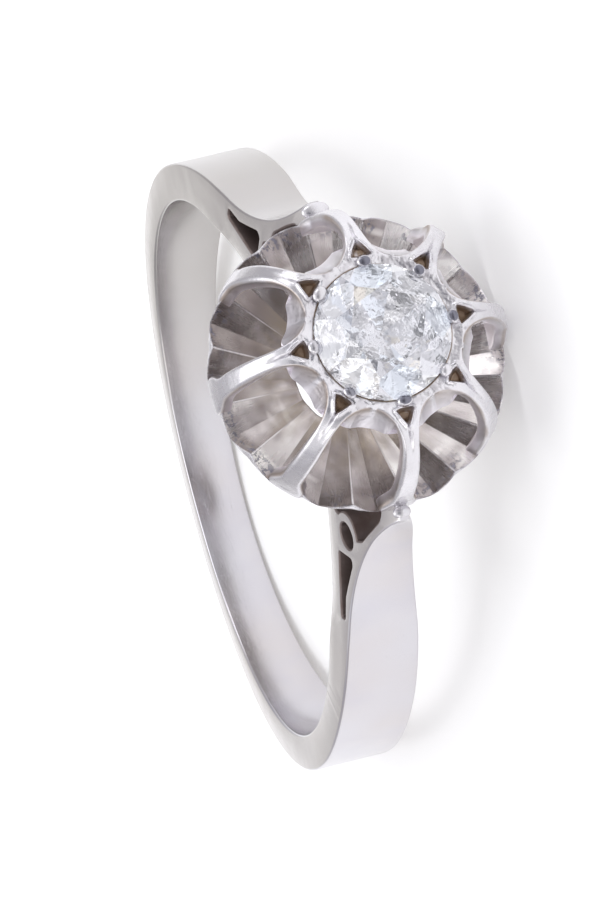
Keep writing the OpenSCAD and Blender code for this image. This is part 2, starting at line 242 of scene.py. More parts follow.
def shoulder_side():
    """Outline of one shoulder, from the shank's outer arc up the hollow arc to the rim, back down the
    inside of the outer rail, round the eye and along the finger rail to the tube."""
    outer_r, shift = FINGER_R + (BASE_T + SIDE_T) / 2, (SIDE_T - BASE_T) / 2
    start = math.radians(FLANK_FROM)
    flank_x = shift - (FLANK_R - outer_r) * math.cos(start)
    flank_z = -(FLANK_R - outer_r) * math.sin(start)
    arc_z = SHOULDER_HALF + SHOULDER_ARC_R
    arc_x = flank_x + math.sqrt((FLANK_R + SHOULDER_ARC_R) ** 2 - (arc_z - flank_z) ** 2)
    meet = math.atan2(arc_z - flank_z, arc_x - flank_x)
    last = 2 * math.pi - math.acos((RIM_X + TONGUE_PAST - arc_x) / SHOULDER_ARC_R)

    def arc(x, z, radius, first, last, count):
        a = np.linspace(first, last, count)
        return np.stack([x + radius * np.cos(a), z + radius * np.sin(a)], -1)

    band = arc(shift, 0, outer_r, math.pi, start, 220)
    hollow = np.concatenate([arc(flank_x, flank_z, FLANK_R, start, meet, 90),
                             arc(arc_x, arc_z, SHOULDER_ARC_R, math.pi + meet, last, 90)[1:]])
    inside = [off_axis(*point) for point in INSIDE]
    round_eye = eye_oval(EYE_WALL, np.linspace(EYE_FROM, EYE_TO, 24))
    rail = polar(RAIL_T - np.linspace(RAIL_THINNER, 0, 14), np.linspace(RAIL_FROM, RAIL_TO, 14))
    return band, hollow, np.concatenate([inside, round_eye, [off_axis(*UNDER_EYE)], rail])


def eye_oval(more, degrees):
    """Points of the leaning oval round the eye, wider all round by the given amount."""
    t, lean = np.radians(degrees), math.radians(EYE_LEAN)
    along, across = (EYE_LONG + more) * np.cos(t), (EYE_WIDE + more) * np.sin(t)
    x = along * math.cos(lean) - across * math.sin(lean)
    z = along * math.sin(lean) + across * math.cos(lean)
    return off_axis(EYE_RISE, EYE_OUT) + np.stack([x, z], -1)


def shank_loops():
    """The closed lines that bound the pierced shank in X and Z: the outline, two slots and two eyes."""
    band, hollow, tail = shoulder_side()
    tail = refine(rounded(tail, CORNER_CUT, 4), OUTLINE_STEP)
    tongue = refine(np.array([hollow[-1], tail[0]]), 0.08)[1:-1]
    outer = np.concatenate([band, hollow[1:], tongue, tail])
    turn = np.radians(np.linspace(RAIL_TO, 180, 240))[:-1]
    finger = FINGER_R * np.stack([np.cos(turn), np.sin(turn)], -1)
    flip = np.array([1, -1])
    back = [[[-FINGER_R, 0]], (finger * flip)[::-1], (outer * flip)[::-1][:-1]]
    loops = [np.concatenate([outer, finger] + back)]
    eye = eye_oval(0, np.linspace(0, 360, 56, endpoint=False))
    slot = rounded([polar(*corner) for corner in SLOT], CORNER_CUT, 5, closed=True)
    slot = refine(np.concatenate([slot, slot[:1]]), OUTLINE_STEP)[:-1]
    for hole in (eye, slot):
        loops += [hole, hole * flip]
    return loops


def make_shank():
    """The pierced outline as a flat filled curve with rounded edges, thickened along Y; each point is
    then moved in or out to half_width. A pierced plate has no grid of its own, so a curve fills it."""
    curve = bpy.data.curves.new("shank", "CURVE")
    curve.dimensions, curve.fill_mode = "2D", "BOTH"
    nominal = SHANK_W / 2
    curve.extrude, curve.bevel_depth = nominal - SHANK_EDGE, SHANK_EDGE
    curve.offset, curve.bevel_resolution = -SHANK_EDGE, 3
    for loop in shank_loops():
        line = curve.splines.new("POLY")
        line.points.add(len(loop) - 1)
        line.points.foreach_set("co", np.c_[loop, np.zeros(len(loop)), np.ones(len(loop))].ravel())
        line.use_cyclic_u = True
    flat = add_object("shank_outline", curve)
    mesh = bpy.data.meshes.new_from_object(flat.evaluated_get(bpy.context.evaluated_depsgraph_get()))
    bpy.data.objects.remove(flat)
    grid_sides(mesh)
    mark_openings(mesh)
    x, z, side = vectors(mesh.vertices, "co").T
    points = np.stack([x, side / nominal * half_width(x, z), z], -1)
    mesh.vertices.foreach_set("co", at_rest(points).ravel())
    mesh.name = "shank"
    return settle("shank", mesh, sharp=40, merge=0.001)


def mark_openings(mesh):
    """Marks the flat sides, and the walls of the eyes, slots and shoulders' insides that are painted
    dark with shade and some dirt: faces that stand upright in the flat mesh, close to those lines."""
    inner = shoulder_side()[2]
    inner = refine(inner[inner[:, 0] < FINGER_R + SHADE_SOIL_BELOW], 0.1)
    rims = np.concatenate(shank_loops()[1:] + [inner, inner * (1, -1)])
    middle = vectors(mesh.polygons, "center")[:, :2]
    upright = np.abs(vectors(mesh.polygons, "normal")[:, 2]) < UPRIGHT
    shaded_and_soiled = [up and np.hypot(*(rims - spot).T).min() < SHADE_SOIL_REACH for up, spot in zip(upright, middle)]
    add_mark(mesh, "side", "FACE", ~upright)
    add_mark(mesh, "grime", "FACE", shaded_and_soiled)


def grid_sides(mesh, step=3):
    """Joins the triangles that fill the flat sides and cuts them along rays from the finger's centre,
    and in the shoulders also along the chamfer's edge and two more arcs, so that they bend evenly."""
    work = bmesh.new()
    work.from_mesh(mesh)
    filled = {f for f in work.faces if abs(f.normal.z) > 0.999}
    inner = [e for e in work.edges if len(e.link_faces) == 2 and filled.issuperset(e.link_faces)]
    bmesh.ops.dissolve_limit(work, angle_limit=0.001, verts=[], edges=inner)

    def cut(faces, point, way):
        parts = {e for f in faces for e in f.edges} | {v for f in faces for v in f.verts} | set(faces)
        bmesh.ops.bisect_plane(work, geom=list(parts), plane_co=point, plane_no=way, dist=1e-5)

    for a in np.radians(np.arange(0, 180, step)):
        cut(work.faces[:], (0, 0, 0), (-math.sin(a), math.cos(a), 0))
    for rise in SIDE_ARCS:
        far = (FINGER_R + rise) * math.cos(math.radians(step / 2))
        for start in np.arange(-60, 60, step):
            work.faces.ensure_lookup_table()
            middles = np.array([f.calc_center_median() for f in work.faces])
            turn = np.degrees(np.arctan2(middles[:, 1], middles[:, 0]))
            chosen = [work.faces[i] for i in np.flatnonzero((turn > start) & (turn < start + step))]
            a = math.radians(start + step / 2)
            way = np.array([math.cos(a), math.sin(a), 0])
            cut(chosen, far * way, way)
    work.to_mesh(mesh)
    work.free()


def make_cup():
    """The cup's section, a closed line, turned round the head's axis: every column is one angle and
    every row one point of the section. Each flute is a V of two flat flanks between narrow ridges: a
    point sinks by its own share of FLUTE_DEPTH times the way from the ridge to the valley, and the rim
    bulges out in a petal at each flute."""
    slope = (RIM_X - HOLE_X) / (RIM_R - HOLE_R)
    lip_r = RIM_R - LIP_FLAT
    corners = [
        (TUBE_R, FINGER_R, 0, 1), (HOLE_R - 0.03, HOLE_X - 0.3, 0, 0), (HOLE_R, HOLE_X, 0.3, 0),
        (lip_r, HOLE_X + slope * (lip_r - HOLE_R), 0.95, 0), (RIM_R, RIM_X - 0.02, 0.75, 0),
        (RIM_R, RIM_X - LIP_T, 0.1, 0), (HOLE_R + 2 * TUBE_WALL, HOLE_X - CUP_WALL, 0, 0),
        (TUBE_R + TUBE_WALL, FINGER_R, 0, 1)]
    cuts = np.array([0.04, 0.1, 0.05, 0.02, 0.03, 0.06, 0.15, 0.04])
    section = rounded(corners, cuts, 5, closed=True)
    section = refine(np.concatenate([section, section[:1]]), 0.09)[:-1]
    radius, along, share, bore = section.T[:, :, None]
    turns = (np.arange(FLUTES) + CHANCE.uniform(-0.05, 0.05, FLUTES)) * 2 * math.pi / FLUTES
    ridges = math.radians(FLUTE_FROM) + turns
    width = np.diff(np.append(ridges, ridges[0] + 2 * math.pi))
    valley = CHANCE.uniform(0.42, 0.58, FLUTES)
    step = np.arange(FLANK_STEPS + 1) / FLANK_STEPS
    angles, depths = [], []
    for k in range(FLUTES):
        down = RIDGE + (valley[k] - VALLEY - RIDGE) * step
        up = valley[k] + VALLEY + (1 - RIDGE - valley[k] - VALLEY) * step
        angles.append(ridges[k] + width[k] * np.concatenate([[0], down, up]))
        depths.append(np.concatenate([[0], step, 1 - step]) * CHANCE.uniform(0.85, 1.1))
    angle, depth = np.concatenate(angles)[None], np.concatenate(depths)[None]
    # Painted light and shade of each flank: a chance shade, one flank of each V lighter as if lit, and the
    # flanks round BRIGHT_AT lighter still
    shades = CHANCE.uniform(0, 0.42, 2 * FLUTES)
    shades += np.tile([0, 0.5], FLUTES) * CHANCE.uniform(0.4, 1.2, 2 * FLUTES)
    shades += BRIGHT_SIDE * np.maximum(0, np.cos(np.repeat(ridges, 2) - math.radians(BRIGHT_AT)))
    tone = np.repeat(shades, np.tile([len(step) + 1, len(step)], FLUTES))
    ridge = np.tile(np.eye(1, 2 * len(step) + 1), FLUTES)
    lip = smooth(RIM_R - PETAL_WIDE, RIM_R, radius) * np.maximum(share, 0.35)
    x = along - FLUTE_DEPTH * share * depth
    r = radius + lip * (PETAL_OUT * (1 - (1 - depth) ** 2) - PETAL_BACK)
    y, z = r * np.sin(angle), r * np.cos(angle)
    x = x + bore * (np.sqrt(FINGER_R**2 - z**2) - FINGER_R)
    points = np.stack(np.broadcast_arrays(x, y, z), -1)
    rows, cols = x.shape
    inside = share * smooth(HOLE_X - 0.1, HOLE_X + 0.02, along)
    marks = {"inside": inside, "tone": tone, "ridge": ridge * inside, "around": angle, "out": radius}
    marks = {name: np.broadcast_to(values, x.shape) for name, values in marks.items()}
    return solid("fluted_cup", points.reshape(-1, 3), grid_quads(rows, cols, True, True), marks, sharp=8)


def crown_rows():
    """Where the crown's rows lie, as plan radii and then as angles of the dome's quarter ellipse. They
    crowd together where an arch or a pit starts or ends, so that its outline is round there."""
    ease = 1 - np.cos(np.linspace(0, math.pi / 2, 18))
    arch = ARCH_R + (PIT_FAR_R - 0.2 - ARCH_R) * ease
    pit = (PIT_NEAR_R + PIT_FAR_R) / 2 - (PIT_FAR_R - PIT_NEAR_R) / 2 * np.cos(np.linspace(0, math.pi, 26))
    radii = np.concatenate([np.linspace(COLLAR_R, ARCH_R, 7), arch, pit, np.linspace(PIT_FAR_R, 3.7, 14)])
    past = radii - DOME_TOP_R
    q = np.where(past < 0, past, np.arcsin(np.clip(past / DOME_OUT, 0, 1)))
    lower = np.linspace(q.max(), math.pi / 2, 26)
    end = math.pi / 2 + np.array([0.03, 0.05, 0.065, 0.075])
    q = np.sort(np.concatenate([q, lower, end]))
    return q[np.append(True, np.diff(q) > ROW_GAP)]


def crown_path(q):
    """Radius and height of the crown's outer face, and the direction in which it faces. Below zero q
    runs over the flat collar, and above it is the angle of a quarter ellipse."""
    t = np.clip(q, 0, None)
    radius = DOME_TOP_R + np.minimum(q, 0) + DOME_OUT * np.sin(np.minimum(t, math.pi / 2))
    along = FOOT_X + DOME_UP * np.cos(t)
    face_r, face_x = DOME_UP * np.sin(t), DOME_OUT * np.cos(t)
    size = np.hypot(face_r, face_x)
    return radius, along, face_r / size, face_x / size


def window_half(radius, along):
    """Half the angle of a window, in degrees: an arch a little squarer than an ellipse, that opens from
    ARCH_R to its full width at ARCH_FULL_R and narrows where the arms' feet spread on the rim."""
    q = np.clip((ARCH_FULL_R - radius) / (ARCH_FULL_R - ARCH_R), 0, 1)
    spread = FOOT_SPREAD * smooth(RIM_X + FOOT_TALL, RIM_X - 0.1, along) ** 2
    return WINDOW_HALF * (1 - q**ARCH_ROUND) ** (1 / ARCH_ROUND) - spread


def over_edge(distance, size):
    """How far a rounded edge has dropped at that distance from it: a quarter circle of that size."""
    left = np.clip(1 - distance / size, 0, 1)
    return size * (1 - np.sqrt(1 - left**2))


def make_crown():
    """Sixteen half arms, each a grid of rows q down the dome and columns from the arm's middle line,
    or the edge of its pit, to the window's edge. The face drops in a quarter circle near a window,
    rises in a fine rim round the pit and has a groove from the pit's tip down the arm. The wall at a
    window's inner end slants outwards, and each pit narrows to its floor."""
    q = crown_rows()
    radius, along, face_r, face_x = crown_path(q)
    run = np.concatenate([[0], np.cumsum(np.hypot(np.diff(radius), np.diff(along)))])
    step = math.radians(360 / ARMS / 2)
    opened = (radius > ARCH_R + 1e-9)
    far = np.where(opened, step - np.radians(window_half(radius, along)), step)
    in_pit = (radius > PIT_NEAR_R + 1e-6) & (radius < PIT_FAR_R - 1e-6) & (q < 1)
    pit = np.clip((radius - PIT_NEAR_R) / (PIT_FAR_R - PIT_NEAR_R), 0, 1)
    pit_shape = np.where(in_pit, PIT_HALF * np.clip(pit * 9, 0, 1) ** 0.5 * (1 - pit) ** 0.8, 0)
    window_rows = np.flatnonzero(radius > ARCH_R - 1e-9)
    pit_edge = np.flatnonzero((radius > PIT_NEAR_R - 1e-6) & (radius < PIT_FAR_R + 1e-6) & (q < 1))
    share = (1 - np.cos(np.linspace(0, math.pi, ARM_COLS + 1))) / 2
    n, rows = len(q), np.arange(len(q) - 1)
    opened_rows = rows >= np.flatnonzero(opened)[0] - 1
    pit_rows = (rows >= np.flatnonzero(in_pit)[0] - 1) & (rows <= np.flatnonzero(in_pit)[-1])
    to_end = (run[-1] - run)[:, None]
    near_stone = smooth(ARCH_R + 0.02, COLLAR_R, radius)[:, None]
    wall = CROWN_WALL + (ARCH_WALL - CROWN_WALL) * smooth(3.3, 2.7, radius)[:, None]
    slant = ARCH_SLANT * smooth(3.1, ARCH_R, radius)[:, None]

    def half_arm(wide):
        """Angles, lifts, radii and brown marks of a half arm's face, back and pit floor, where the pit is
        that much wider than the usual one. The brown is dirt and painted shade in the pit, and painted shade
        along the edges and at the collar."""
        near = pit_shape * wide / radius
        angle = near[:, None] + (far - near)[:, None] * share

        def to_line(line_angle, at):
            """Distance of every grid point from a line given by its angle at some of the rows."""
            mid = (radius[:, None, None] + radius[at][None, None]) / 2
            gap = (angle[:, :, None] - line_angle[at][None, None]) * mid
            return np.sqrt(gap**2 + (run[:, None, None] - run[at][None, None]) ** 2).min(-1)

        to_window, to_pit = to_line(far, window_rows), to_line(near, pit_edge)
        width = angle * radius[:, None]
        edge = ARM_EDGE + (FOOT_EDGE - ARM_EDGE) * smooth(2.9, 3.9, radius)[:, None]
        past_pit = radius > PIT_FAR_R - 0.01
        groove = GROOVE_DEEP * smooth(PIT_FAR_R + GROOVE_LONG, PIT_FAR_R, radius) * past_pit
        rise = (-over_edge(to_window, edge) - over_edge(to_pit, PIT_EDGE) - over_edge(to_end, END_EDGE)
                + RIM_RISE * np.exp(-((to_pit - RIM_HALF) / RIM_HALF) ** 2)
                - groove[:, None] * np.clip(1 - width / GROOVE_HALF, 0, 1) - SEAT_DROP * near_stone)
        back = -wall + over_edge(to_window, BACK_EDGE) + over_edge(to_end, END_BACK_EDGE)
        # Painted shade: dark lines along the pits' and windows' edges and at the collar beside the stone; the
        # pit floors below get dirt and painted shade
        by_edge = np.maximum(smooth(0.03, 0.0, to_pit) * 0.25, smooth(0.06, 0.02, to_window) * 0.5)
        soil_and_shade = np.maximum(by_edge, smooth(COLLAR_R + 0.05, COLLAR_R, radius)[:, None])
        out = radius[:, None] + 0 * angle
        still = PIT_NEAR_R + PIT_STILL
        floor_r = np.clip(PIT_FLOOR * (radius - still) + still, PIT_NEAR_R, PIT_FAR_R)[:, None]
        floor = near[:, None] * np.linspace(0, 1, PIT_COLS) * PIT_FLOOR
        return [(angle, rise, out, soil_and_shade), (far[:, None] * share, back, out + slant, 0 * angle),
                (floor, 0 * floor - PIT_DEEP, 0 * floor + floor_r, 0 * floor + 1)]

    start, numbers = 0, []
    for across in (ARM_COLS + 1, ARM_COLS + 1, PIT_COLS):
        numbers.append(start + np.arange(n * across).reshape(n, across))
        start += n * across
    outer, inner, floor = numbers

    def strip(first, second, keep):
        """Quads between two equal lines of points, where keep is true."""
        return np.stack([first[:-1], first[1:], second[1:], second[:-1]], -1)[keep]

    def sheet(number, keep):
        """Quads of a grid of points, on the rows where keep is true."""
        corners = (number[:-1, :-1], number[:-1, 1:], number[1:, 1:], number[1:, :-1])
        return np.stack(corners, -1)[keep].reshape(-1, 4)

    quads = np.concatenate([
        sheet(outer, rows >= 0), sheet(inner, rows >= 0), sheet(floor, pit_rows),
        strip(outer[:, -1], inner[:, -1], opened_rows), strip(outer[:, 0], floor[:, -1], pit_rows),
        strip(outer[0], inner[0], slice(None)), strip(outer[-1], inner[-1], slice(None))])
    near_arch = (smooth(COLLAR_R, ARCH_R, radius) * smooth(3.4, 2.6, radius))[:, None]
    nudges = CHANCE.uniform(-0.07, 0.08, ARMS)
    points, all_quads, grime_and_shade_values, collars, walls = [], [], [], [], []
    for arm in range(ARMS):
        for side in (1, -1):
            half = half_arm(CHANCE.uniform(0.75, 1.15))
            nudge = nudges[(arm if side > 0 else arm - 1) % ARMS]
            all_quads.append(quads + len(all_quads) * start)
            for turned, lift, out, soil_and_shade in half:
                along_x = along[:, None] + face_x[:, None] * lift
                moved = out + face_r[:, None] * lift + nudge * smooth(step * 0.3, step, turned) * near_arch
                points.append(round_head(along_x, moved, arm * 2 * step + side * turned).reshape(-1, 3))
                grime_and_shade_values.append(soil_and_shade.ravel())
                collars.append(smooth(2.75, 2.5, out).ravel())
                walls.append((lift < -BEHIND).ravel())
    marks = {"grime": grime_and_shade_values, "collar": collars, "wall": walls}
    marks = {name: np.concatenate(values) for name, values in marks.items()}
    return solid("claw_crown", np.concatenate(points), np.concatenate(all_quads), marks, sharp=38)


def balls(name, places, sizes, tones):
    """Ellipsoids: latitude and longitude grids, scaled along each ball's own three directions."""
    rows, cols = 21, 32
    lat = np.linspace(-math.pi / 2, math.pi / 2, rows)[:, None]
    lon = np.linspace(0, 2 * math.pi, cols, endpoint=False)[None]
    unit = round_head(np.sin(lat), np.cos(lat), lon).reshape(-1, 3)
    quads = grid_quads(rows, cols, close_cols=True)
    points, faces = [], []
    marks = {"cap": np.tile(unit[:, 0], len(places)), "tone": np.repeat(tones, len(unit))}
    for k, ((along, radius, angle), size) in enumerate(zip(places, sizes)):
        spun = unit * size + np.array([along, 0, radius])
        c, s = math.cos(angle), math.sin(angle)
        y, z = spun[:, 1] * c + spun[:, 2] * s, spun[:, 2] * c - spun[:, 1] * s
        points.append(np.stack([spun[:, 0], y, z], -1))
        faces.append(quads + k * len(unit))
    return solid(name, np.concatenate(points), np.concatenate(faces), marks, sharp=60)


def make_arm_ends():
    """The end of each arm, pressed flat on the rim, or out on a shoulder's end."""
    turns = np.arange(ARMS) * 2 * math.pi / ARMS
    tips = np.abs(np.cos(turns)) > 0.9
    places = np.stack([RIM_X + TIP_X * tips, RIM_R - KNOB_INSET + TIP_OUT * tips, turns], -1)
    sizes = np.where(tips[:, None], TIP_SIZE, KNOB_SIZE)
    sizes[ARMS // 2] = LOW_TIP_SIZE
    return balls("arm_ends", places, sizes, np.ones(ARMS))


def make_beads():
    """The beads that hold the stone, each a little different, as pushed by hand."""
    turns = np.arange(ARMS) * 2 * math.pi / ARMS + CHANCE.uniform(-0.02, 0.02, ARMS)
    sizes = BEAD_R * CHANCE.uniform(0.85, 1.1, (ARMS, 3)) * BEAD_SHAPE
    places = [(CROWN_X + BEAD_R / 2, STONE_R + BEAD_R / 2, turn) for turn in turns]
    # The tones choose which beads' caps carry a painted dark reflection
    return balls("beads", places, sizes, CHANCE.uniform(0, 1, ARMS))


def make_seat():
    """The ledge under the stone's girdle: a small closed section turned round the head's axis."""
    low_x, outer, cols = CROWN_X - GIRDLE_T / 2, COLLAR_R + 0.08, 192
    corners = [(outer, low_x - 0.1), (STONE_R + 0.01, low_x - 0.1), (SEAT_R, low_x - 0.4),
               (SEAT_R, low_x - SEAT_TALL), (outer, low_x - SEAT_TALL)]
    section = rounded(corners, 0.03, 4, closed=True)
    turn = np.linspace(0, 2 * math.pi, cols, endpoint=False)[None]
    points = round_head(section[:, 1:2], section[:, 0:1], turn)
    # The whole ledge is painted brown: dirt, and the painted shade seen through the gap round the stone
    marks = {"grime": np.ones(points.shape[:2])}
    return solid("stone_seat", points.reshape(-1, 3), grid_quads(len(section), cols, True, True), marks)


def make_stone():
    """A round brilliant, cut as a real one is: a tall round blank is cut flat by the planes of the
    table and the culet, of the kites, mains and stars, and of the upper and lower halves, in turn."""
    work = bmesh.new()
    bmesh.ops.create_cone(
        work, cap_ends=True, segments=BLANK_SIDES, radius1=STONE_R, radius2=STONE_R, depth=6)
    half = GIRDLE_T / 2
    crown = math.atan2(STONE_TOP, STONE_R - TABLE_R)
    low = math.atan2(STONE_LOW, STONE_R)

    def cut(tilt, turn, radius, height):
        """Cuts away what lies beyond the plane that faces tilt off the axis and passes that point."""
        way = Vector((math.sin(tilt) * math.cos(turn), math.sin(tilt) * math.sin(turn), math.cos(tilt)))
        point = Vector((radius * math.cos(turn), radius * math.sin(turn), height))
        every = work.verts[:] + work.edges[:] + work.faces[:]
        done = bmesh.ops.bisect_plane(
            work, geom=every, plane_co=point, plane_no=way, clear_outer=True, dist=1e-7)
        rim = [e for e in done["geom_cut"] if isinstance(e, bmesh.types.BMEdge)]
        if rim:
            bmesh.ops.contextual_create(work, geom=rim)

    cut(0, 0, 0, half + STONE_TOP)
    cut(math.pi, 0, 0, -half - STONE_LOW * CULET)
    eighth = math.pi / 4
    for k in range(8):
        cut(crown, k * eighth, STONE_R, half)
        cut(math.pi - low, k * eighth, STONE_R, -half)
        cut(crown * STAR_TILT, (k + 0.5) * eighth, TABLE_R * math.cos(eighth / 2), half + STONE_TOP)
    for k in range(16):
        cut(crown * UPPER_TILT, (k + 0.5) * eighth / 2, STONE_R, half + HALVES_RISE)
        cut(math.pi - low * LOWER_TILT, (k + 0.5) * eighth / 2, STONE_R, -half - HALVES_RISE)
    mesh = bpy.data.meshes.new("round_brilliant")
    bmesh.ops.recalc_face_normals(work, faces=work.faces)
    work.to_mesh(mesh)
    work.free()
    y, z, along = vectors(mesh.vertices, "co").T
    mesh.vertices.foreach_set("co", at_rest(np.stack([along + CROWN_X, y, z], -1)).ravel())
    mesh.shade_flat()
    add_mark(mesh, "tone", "FACE", CHANCE.uniform(0, 1, len(mesh.polygons)))
    add_mark(mesh, "below", "POINT", along < 0)
    return add_object("round_brilliant", mesh)


class Wire:
    """A node's output in one node tree. Sums and products of wires and numbers add Math nodes."""

    def __init__(self, finish, socket):
        self.finish, self.socket = finish, socket

    def math(self, operation, *values):
        return self.finish.node("ShaderNodeMath", {"operation": operation}, dict(enumerate(values)))

    def __add__(self, other):
        return self.math("ADD", self, other)

    def __sub__(self, other):
        return self.math("SUBTRACT", self, other)

    def __rsub__(self, other):
        return self.math("SUBTRACT", other, self)

    def __mul__(self, other):
        return self.math("MULTIPLY", self, other)

    __radd__, __rmul__ = __add__, __mul__

    def clamp(self):
        """The wire, held between 0 and 1."""
        return self.finish.node("ShaderNodeClamp", {}, {"Value": self, "Min": 0.0, "Max": 1.0})

    def ramp(self, low, high):
        """0 where the wire is low, 1 where it is high, straight between and held beyond."""
        return self.finish.node("ShaderNodeMapRange", {}, {0: self, 1: low, 2: high, 3: 0.0, 4: 1.0})


class Finish:
    """One node tree, of a material or of the world, and the ways in which nodes are added to it."""

    def __init__(self, tree):
        self.tree = tree
        tree.nodes.clear()

    def node(self, kind, settings, inputs, output=0):
        """Adds a node of that kind: its settings are set first, then its sockets are given values or
        wires. A setting named stops fills a colour ramp. Returns a wire on the chosen output."""
        made = self.tree.nodes.new(kind)
        for key, value in settings.items():
            if key == "stops":
                while len(made.color_ramp.elements) < len(value):
                    made.color_ramp.elements.new(0.5)
                for stop, (place, colour) in zip(made.color_ramp.elements, value):
                    stop.position, stop.color = place, (*colour, 1)
            else:
                setattr(made, key, value)
        for key, value in inputs.items():
            if isinstance(value, Wire):
                self.tree.links.new(value.socket, made.inputs[key])
            else:
                made.inputs[key].default_value = value
        return Wire(self, made.outputs[output]) if made.outputs else None

    def mix(self, share, first, second):
        """The first colour where share is 0 and the second where it is 1."""
        first, second = [(*c, 1) if isinstance(c, tuple) else c for c in (first, second)]
        return self.node("ShaderNodeMix", {"data_type": "RGBA"}, {0: share, 6: first, 7: second}, 2)

    def stops(self, colours, at):
        """The colour that lies at that share of a line of stops, each a share and its colour."""
        return self.node("ShaderNodeValToRGB", {"stops": colours}, {0: at})

    def mark(self, name):
        """A number that the mesh carries at every point or face, and 0 where it has none."""
        return self.node("ShaderNodeAttribute", {"attribute_name": name}, {}, 2)

    def place(self, stretch=(1, 1, 1), turn=(0, 0, 0)):
        """The point in millimetres of the object's own coordinates, stretched along each axis and then
        turned about the origin."""
        spot = self.node("ShaderNodeTexCoord", {}, {}, "Object")
        scale = tuple(s / MM for s in stretch)
        return self.node("ShaderNodeMapping", {}, {"Vector": spot, "Rotation": turn, "Scale": scale})

    def noise(self, vector, scale, detail=3.0, rough=0.5):
        """Smooth noise about 0.5 of that many waves to the unit, with detail finer layers."""
        return self.node("ShaderNodeTexNoise", {}, {
            "Vector": vector, "Scale": scale, "Detail": detail, "Roughness": rough})

    def join(self, x, y, z):
        """A vector of three wires or numbers."""
        return self.node("ShaderNodeCombineXYZ", {}, {0: x, 1: y, 2: z})


def material(name):
    """A new material and its finish."""
    made = bpy.data.materials.new(name)
    made.use_nodes = True
    return made, Finish(made.node_tree)


def metal_output(f, colour, roughness, height, distance):
    """Ends a metal: a polished conductor with that colour, roughness and relief."""
    bump = f.node("ShaderNodeBump", {}, {"Strength": 1.0, "Distance": distance * MM, "Height": height})
    shader = f.node("ShaderNodeBsdfPrincipled", {}, {
        "Base Color": colour, "Metallic": 1.0, "Roughness": roughness, "Normal": bump})
    f.node("ShaderNodeOutputMaterial", {}, {"Surface": shader})


# Tints of white gold, a painted highlight, a painted dark reflection, and browns for dirt and painted shade
GOLD_LIGHT = (0.68, 0.665, 0.69)
GOLD_SHANK = (0.655, 0.645, 0.68)
GOLD_CREAM = (0.64, 0.61, 0.62)
GOLD_SIDE = (0.71, 0.67, 0.63)
GOLD_LILAC = (0.58, 0.565, 0.62)
GOLD_GREY = (0.5, 0.48, 0.46)
GOLD_BRIGHT = (0.77, 0.755, 0.785)
COLLAR_CUT = (0.52, 0.49, 0.52)
WALL_HIGHLIGHT = (0.97, 0.93, 0.98)
BEAD_DARK_REFLECTION = (0.14, 0.14, 0.18)
GRIME_AND_SHADE = (0.36, 0.27, 0.2)
HOLLOW_SHADE_AND_SOIL = (0.18, 0.14, 0.13)

# Tints of the cup: flanks painted lit or shaded, grey-brown to cream, and painted glints and shade
FLANK_LIGHT_AND_SHADE = [(0.0, (0.24, 0.205, 0.195)), (0.3, (0.35, 0.31, 0.295)), (0.55, (0.52, 0.475, 0.47)),
          (0.8, (0.77, 0.73, 0.71)), (1.0, (0.97, 0.95, 0.92))]
STREAK = (0.3, 0.26, 0.26)
OLIVE_SOIL = (0.36, 0.29, 0.17)
GLINT_HIGHLIGHT = (0.98, 0.95, 0.92)
SPECK = (0.2, 0.2, 0.26)
RIDGE_HIGHLIGHT = (0.95, 0.92, 0.93)
UNDERSIDE_SHADE = (0.4, 0.35, 0.33)

# Painted reflections of the stone's facets, and the faint painted glow of fire that a few of them show
FACET_REFLECTIONS = [(0.0, (0.62, 0.62, 0.66)), (0.25, (0.80, 0.80, 0.85)), (0.5, (0.92, 0.92, 0.97)),
          (0.72, (0.99, 0.99, 0.97)), (0.86, (0.76, 0.86, 1.0)), (0.95, (1.0, 0.90, 0.72)),
          (1.0, (0.80, 0.74, 1.0))]
FIRE_GLOW = [(0.0, (0.0, 0.0, 0.0)), (0.35, (0.25, 0.25, 0.32)), (0.6, (0.8, 0.82, 1.0)), (0.8, (1.0, 1.0, 1.0)),
        (0.9, (0.35, 0.55, 1.0)), (0.96, (1.0, 0.8, 0.45)), (1.0, (0.45, 0.35, 1.0))]
DIAMOND_IOR = 2.42


def scratches(f, turn):
    """Fine straight scratches: noise stretched far along one direction, cut to its thin peaks."""
    return f.noise(f.place((0.9, 14.0, 14.0), turn), 1.0, 2.0, 0.6).ramp(0.60, 0.72)


def band_finish():
    """Polished white gold of the shank: soft tint changes, greyer on the upper shoulder and creamier
    on the sides, fine wear scratches, faint waves, and painted shade with some dirt in the openings."""
    made, f = material("white_gold_band")
    spot = f.place()
    tint = f.noise(spot, 0.22, 2.0)
    colour = f.mix(tint.ramp(0.38, 0.66), GOLD_SHANK, GOLD_CREAM)
    colour = f.mix(f.noise(spot, 0.5, 3.0).ramp(0.5, 0.75) * 0.55, colour, GOLD_LILAC)
    upper = f.node("ShaderNodeSeparateXYZ", {}, {0: spot}, 0).ramp(2.0, 7.5)
    colour = f.mix(upper * (0.6 + f.noise(spot, 0.3, 2.0) * 0.6), colour, GOLD_GREY)
    wear = scratches(f, (0.3, 0.1, 0.9)) + scratches(f, (1.1, 0.5, 0.2)) + scratches(f, (0.1, 0.4, 2.3))
    haze = f.noise(spot, 1.3, 4.0, 0.6)
    rough = 0.15 + haze * 0.08 + wear * 0.05
    waves = f.noise(spot, 0.45, 2.0)
    colour = f.mix(f.mark("side") * 0.6, colour, GOLD_SIDE)
    # Painted shade, with some dirt, in the openings and on their rounded edges
    soil_and_shade = f.mark("grime") * (0.75 + haze * 0.4)
    colour = f.mix(soil_and_shade.clamp(), colour, HOLLOW_SHADE_AND_SOIL)
    rough = rough + soil_and_shade * 0.35
    metal_output(f, colour, rough, waves * 0.8 + wear * 0.012 + f.noise(spot, 14.0, 3.0) * 0.01, 0.02)
    return made


